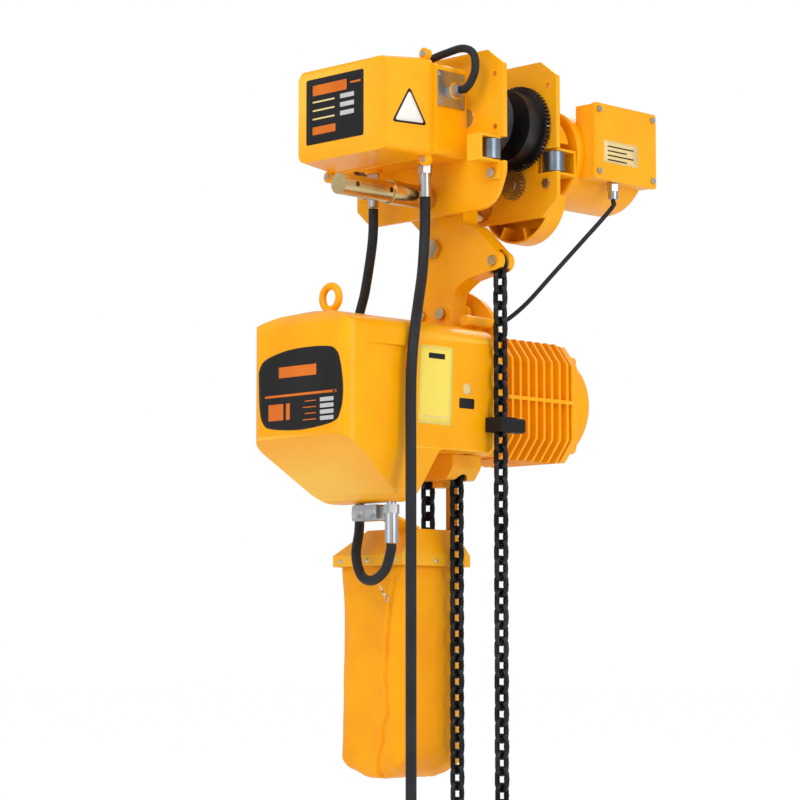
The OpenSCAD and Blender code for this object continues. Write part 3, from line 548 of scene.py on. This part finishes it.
body_tree = surface("hoist_body")
side = (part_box("hoist_body")[1].x, 0, 0)
decal("side_label", body_tree, "hoist", side, Y_AXIS, Z_AXIS,
      outline(rect(-160, -353, -90, -237), 4), LABELS["lemon"], 0.5, 4)
rows = [(rect(-142, -256, -108, -248), LABELS["dark"])]
rows += [(rect(-150 + 15 * i, -344, -142 + 15 * i, -340), LABELS["cream"]) for i in range(4)]
rows += [(rect(-154, -351, -96, -350), LABELS["cream"]), (rect(-154, -240.5, -96, -239.5), LABELS["cream"])]
marks("side_label", body_tree, "hoist", side, Y_AXIS, Z_AXIS, rows)
decal("side_plate", body_tree, "hoist", side, Y_AXIS, Z_AXIS,
      outline(rect(-74, -325, -42, -310), 2), LABELS["dark"], 0.5, 2)
ring = [(math.cos(a * math.pi / 8) * 9 - 58, math.sin(a * math.pi / 8) * 9 - 296) for a in range(16)]
decal("side_spot", body_tree, "hoist", side, Y_AXIS, Z_AXIS,
      [Vector(p) for p in ring], LABELS["cream"], 0.5, 2)

terminal_tree = surface("terminal_cover")
side = (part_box("terminal_cover")[1].x, 0, 0)
decal("terminal_label", terminal_tree, "trolley", side, Y_AXIS, Z_AXIS,
      outline(rect(142, 62, 222, 96), 2), LABELS["cream"], 0.5, 2)
marks("terminal_label", terminal_tree, "trolley", side, Y_AXIS, Z_AXIS,
      [(rect(150, 86 - 7 * i, 212 - 16 * (i % 2), 88 - 7 * i), LABELS["dark"]) for i in range(4)])

end_face = (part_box("control_box_cover")[1].x, 0, 0)
decal("box_triangle_rim", box_tree, "trolley", end_face, Y_AXIS, Z_AXIS,
      outline([(-199, 92), (-139, 92), (-169, 148)], 4), LABELS["dark"], 0.4, 3)
decal("box_triangle", box_tree, "trolley", end_face, Y_AXIS, Z_AXIS,
      outline([(-194, 95), (-144, 95), (-169, 142)], 3), LABELS["white"], 0.7, 3)


# ---------------------------------------------------------------- chain bag
def superellipse(half_x, half_y, turn, power):
    c, s = math.cos(turn), math.sin(turn)
    return (half_x * math.copysign(abs(c) ** (2 / power), c), half_y * math.copysign(abs(s) ** (2 / power), s))


def bag_mesh(low, high):
    """A closed bag: nearly square across, with its floor curving up to both sides."""
    centre = (low + high) / 2
    half = (high - low) / 2
    around, tall = 72, 44
    verts, faces = [], []
    for j in range(tall + 1):
        t = j / tall
        for k in range(around):
            x, y = superellipse(half.x - 0.002, half.y - 0.002, 2 * math.pi * k / around, 30.0)
            lift = 0.032 * (abs(x) / half.x) ** 2.6
            floor = low.z + 0.002 + lift
            verts.append((centre.x + x, centre.y + y, floor + (high.z - 0.001 - floor) * t))
    for j in range(tall):
        for k in range(around):
            a, b = j * around + k, j * around + (k + 1) % around
            faces.append((a, b, b + around, a + around))
    base = len(verts)
    rings = 8
    for level, top in ((0, False), (tall, True)):
        first = len(verts)
        for ring in range(1, rings):
            s = 1 - ring / rings
            for k in range(around):
                x, y, z = verts[level * around + k]
                dx, dy = (x - centre.x) * s, (y - centre.y) * s
                z = high.z - 0.001 if top else low.z + 0.002 + 0.032 * (abs(dx) / half.x) ** 2.6
                verts.append((centre.x + dx, centre.y + dy, z))
        last = level * around
        for ring in range(1, rings):
            now = first + (ring - 1) * around
            for k in range(around):
                quad = (last + k, last + (k + 1) % around, now + (k + 1) % around, now + k)
                faces.append(quad if top else quad[::-1])
            last = now
        cap = tuple(range(last, last + around))
        faces.append(cap if top else cap[::-1])
    mesh = bpy.data.meshes.new("chain_bag_soft")
    mesh.from_pydata(verts, [], faces)
    mesh.update()
    return mesh


def applied(obj):
    """The object's mesh with its modifiers applied, put in their place."""
    graph = bpy.context.evaluated_depsgraph_get()
    graph.update()
    mesh = bpy.data.meshes.new_from_object(obj.evaluated_get(graph))
    obj.modifiers.clear()
    obj.data = mesh
    return mesh


def simulate(obj, pinned, pressure, cap):
    """Cloth swelling under pressure; no point moves further than cap."""
    rest = np.array([v.co for v in obj.data.vertices])
    group = obj.vertex_groups.new(name="pin")
    group.add([i for i, p in enumerate(rest) if pinned(p)], 1.0, "REPLACE")
    cloth = modifier(obj, "CLOTH")
    cloth.settings.quality = 5
    cloth.settings.mass = 0.3
    cloth.settings.tension_stiffness = 12
    cloth.settings.compression_stiffness = 8
    cloth.settings.bending_stiffness = 1.2
    cloth.settings.vertex_group_mass = "pin"
    cloth.settings.use_pressure = True
    cloth.settings.uniform_pressure_force = pressure
    cloth.settings.effector_weights.gravity = 0
    cloth.point_cache.frame_start = 1
    cloth.point_cache.frame_end = 20
    for number in range(1, 21):
        bpy.context.scene.frame_set(number)
    mesh = applied(obj)
    now = np.array([v.co for v in mesh.vertices])
    shift = now - rest
    length = np.linalg.norm(shift, axis=1)
    shift *= np.minimum(1.0, cap / np.maximum(length, 1e-9))[:, None]
    mesh.vertices.foreach_set("co", (rest + shift).astype(np.float32).ravel())
    mesh.update()
    bpy.context.scene.frame_set(1)


# The crease down the front, as height and place across
SEAM = [(-0.560, -0.040), (-0.645, -0.052), (-0.706, -0.057), (-0.781, -0.055), (-0.834, -0.070),
        (-0.875, -0.080)]


def seam_x(z):
    zs = [-s[0] for s in SEAM]
    return float(np.interp(-z, zs, [s[1] for s in SEAM])) + 0.0035 * noise.noise(Vector((3.1, 0.0, z * 42.0)))


def crumple(mesh):
    """The crease down the front, its ridge, and long soft folds over the whole bag."""
    places = [v.co.copy() for v in mesh.vertices]
    normals = [v.normal.copy() for v in mesh.vertices]
    for i, (place_now, n) in enumerate(zip(places, normals)):
        x, y, z = place_now
        ease = min(1.0, max(0.0, (bag_high.z - 0.02 - z) / 0.05))
        fold = noise.noise(Vector((x * 17.0 + 4.0, y * 17.0, z * 6.0)))
        fine = noise.noise(Vector((x * 48.0, y * 48.0 + 9.0, z * 21.0 + x * 30.0)))
        push = 0.0026 * fold + 0.0011 * fine
        if n.y < -0.3:
            away = x - seam_x(z)
            push -= 0.0045 * math.exp(-(away / 0.0022) ** 2)
            push += 0.0022 * math.exp(-((away + 0.008) / 0.006) ** 2)
            push += 0.0014 * math.exp(-((away - 0.008) / 0.005) ** 2)
        low = max(0.0, (-0.80 - z) / 0.08)
        push += 0.0025 * low * noise.noise(Vector((x * 40.0 + z * 30.0, y * 20.0, z * 12.0)))
        places[i] = place_now + n * push * ease
    mesh.vertices.foreach_set("co", np.array(places, np.float32).ravel())
    mesh.update()


bag_low, bag_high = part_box("chain_bag")
bag = place("chain_bag_soft", bag_mesh(bag_low, bag_high), FINISHES["bag_fabric"], None)
modifier(bag, "REMESH", mode="VOXEL", voxel_size=0.0045)
applied(bag)
simulate(bag, lambda p: p[2] > bag_high.z - 0.02, 1.6, 0.004)
modifier(bag, "SUBSURF", levels=1, render_levels=1)
applied(bag)
crumple(bag.data)
shell = bmesh.new()
shell.from_mesh(bag.data)
lid = [f for f in shell.faces if f.normal.z > 0.8 and f.calc_center_median().z > bag_high.z - 0.012]
bmesh.ops.delete(shell, geom=lid, context="FACES")
shell.to_mesh(bag.data)
shell.free()
bag.data.materials.clear()
bag.data.materials.append(FINISHES["bag_fabric"].material)
bag.data.shade_smooth()
modifier(bag, "SOLIDIFY", thickness=0.0012, offset=-1.0)
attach(bag, "hoist")
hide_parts("chain_bag")


# ---------------------------------------------------------------- small parts
def revolve(profile, centre, axis, sides=20):
    """A turned part from (radius, height) steps in millimetres, along a direction."""
    spin = Vector((0, 0, 1)).rotation_difference(Vector(axis)).to_matrix()
    verts, faces = [], []
    for r, h in profile:
        for k in range(sides):
            a = 2 * math.pi * k / sides
            verts.append(Vector(centre) + spin @ Vector((r * math.cos(a), r * math.sin(a), h)) * MM)
    for i in range(len(profile) - 1):
        for k in range(sides):
            a, b = i * sides, (i + 1) * sides
            faces.append((a + k, a + (k + 1) % sides, b + (k + 1) % sides, b + k))
    faces.append(tuple(range(sides))[::-1])
    faces.append(tuple(range((len(profile) - 1) * sides, len(profile) * sides)))
    return verts, faces


# Rivets along the hem of the steel frame: a head's profile, the first one's place and their spacing
RIVET = [(3.6, -1.0), (3.6, 0.2), (3.0, 1.1), (1.8, 1.7), (0.4, 1.9)]
RIVET_FIRST, RIVET_STEP_X, RIVET_STEP_Y = 0.012, 0.058, 0.055
HEM_X, HEM_Y = 0.005, 0.006
rivet_z = bag_high.z - 0.005
rivets = []
for k in range(3):
    x = bag_low.x + RIVET_FIRST + k * RIVET_STEP_X
    rivets.append(revolve(RIVET, (x, bag_low.y - HEM_Y, rivet_z), (0, -1, 0), 12))
    rivets.append(revolve(RIVET, (x, bag_high.y + HEM_Y, rivet_z), (0, 1, 0), 12))
for k in range(3):
    y = bag_low.y + RIVET_FIRST + k * RIVET_STEP_Y
    rivets.append(revolve(RIVET, (bag_high.x + HEM_X, y, rivet_z), (1, 0, 0), 12))
    rivets.append(revolve(RIVET, (bag_low.x - HEM_X, y, rivet_z), (-1, 0, 0), 12))
piece("bag_rivets", *merged(rivets), FINISHES["zinc"], "hoist", slot="zinc")


def wire_with_ring():
    """A thin steel wire hanging from the gland bracket over the bag, with its crimp and ring."""
    low = Vector((-0.049, bag_low.y - 0.012, -0.602))
    start = Vector((-0.076, bag_low.y - 0.012, -0.566))
    along = (low - start).normalized()
    parts = [sweep([start, start.lerp(low, 0.5) + Vector((0, 0, -0.001)), low], 0.0007, 8)]
    parts.append(sweep([low - along * 0.009, low], 0.0019, 10))
    side_way = along.cross(Vector((0, 1, 0)))
    turns = [a * math.pi / 8 for a in range(16)]
    circle = [low + along * 0.005 * (1 + math.cos(t)) + side_way * 0.004 * math.sin(t) for t in turns]
    parts.append(sweep(circle, 0.0007, 8, closed=True))
    return merged(parts)


piece("seal_wire", *wire_with_ring(), FINISHES["zinc"], "hoist", slot="zinc")


# ---------------------------------------------------------------- stage, light and camera
def stage_floor():
    """A wide pale floor below the object, which glows only where the camera sees it."""
    half = 60
    z = cad_box[0].z - 0.03
    mesh = bpy.data.meshes.new("floor")
    corners = [(-half, -half, z), (half, -half, z), (half, half, z), (-half, half, z)]
    mesh.from_pydata(corners, [], [(0, 1, 2, 3)])
    floor = bpy.data.objects.new("floor", mesh)
    bpy.context.scene.collection.objects.link(floor)
    finish = Finish("floor_paint", lin(252, 252, 252), lin(249, 249, 249), 0.8)
    glow = finish.add("ShaderNodeMapRange")
    glow.inputs["To Max"].default_value = 0.4
    finish.join(finish.add("ShaderNodeLightPath").outputs["Is Camera Ray"], glow.inputs["Value"])
    finish.join(glow.outputs["Result"], finish.shader.inputs["Emission Strength"])
    finish.shader.inputs["Emission Color"].default_value = (1, 1, 1, 1)
    mesh.materials.append(finish.material)


def area(name, place_at, aim, size, power):
    """A white rectangular light that looks at a point."""
    data = bpy.data.lights.new(name, "AREA")
    data.shape = "RECTANGLE"
    data.size, data.size_y = size
    data.energy = power
    light = bpy.data.objects.new(name, data)
    light.location = place_at
    light.rotation_euler = (Vector(aim) - Vector(place_at)).to_track_quat("-Z", "Y").to_euler()
    bpy.context.scene.collection.objects.link(light)


stage_floor()
scene = bpy.context.scene
AIM = Vector((-0.0835, -0.0409, -0.2998))
DISTANCE = 4.15
azimuth, elevation = math.radians(45), math.radians(-5.73)
back = Vector((math.sin(azimuth) * math.cos(elevation), -math.cos(azimuth) * math.cos(elevation),
               math.sin(elevation)))
camera = bpy.data.objects.new("camera", bpy.data.cameras.new("camera"))
camera.location = AIM + back * DISTANCE
camera.rotation_euler = (-back).to_track_quat("-Z", "Y").to_euler()
camera.data.lens = 121.5
camera.data.sensor_width = 36
camera.data.clip_end = 200
scene.collection.objects.link(camera)
scene.camera = camera

area("key", (1.0, -3.2, 2.4), AIM, (2.2, 2.2), 54)
area("side", (3.4, -0.2, 0.9), AIM, (1.6, 2.6), 38)
area("fill", (-0.5, -3.9, -0.5), AIM, (2.4, 2.4), 16)
area("rim", (-1.2, 3.0, 2.2), AIM, (2.0, 2.0), 40)

world = bpy.data.worlds.new("studio")
scene.world = world
world.use_nodes = True
background = world.node_tree.nodes["Background"]
background.inputs["Color"].default_value = (1.0, 1.0, 1.0, 1.0)
links = world.node_tree.links
sight = world.node_tree.nodes.new("ShaderNodeLightPath").outputs["Is Camera Ray"]
strength = world.node_tree.nodes.new("ShaderNodeMapRange")
strength.inputs["To Min"].default_value = 0.62
strength.inputs["To Max"].default_value = 1.0
links.new(sight, strength.inputs["Value"])
links.new(strength.outputs["Result"], background.inputs["Strength"])
scene.view_settings.view_transform = "Standard"
scene.view_settings.look = "None"
scene.view_settings.exposure = 0.0

round_edges()
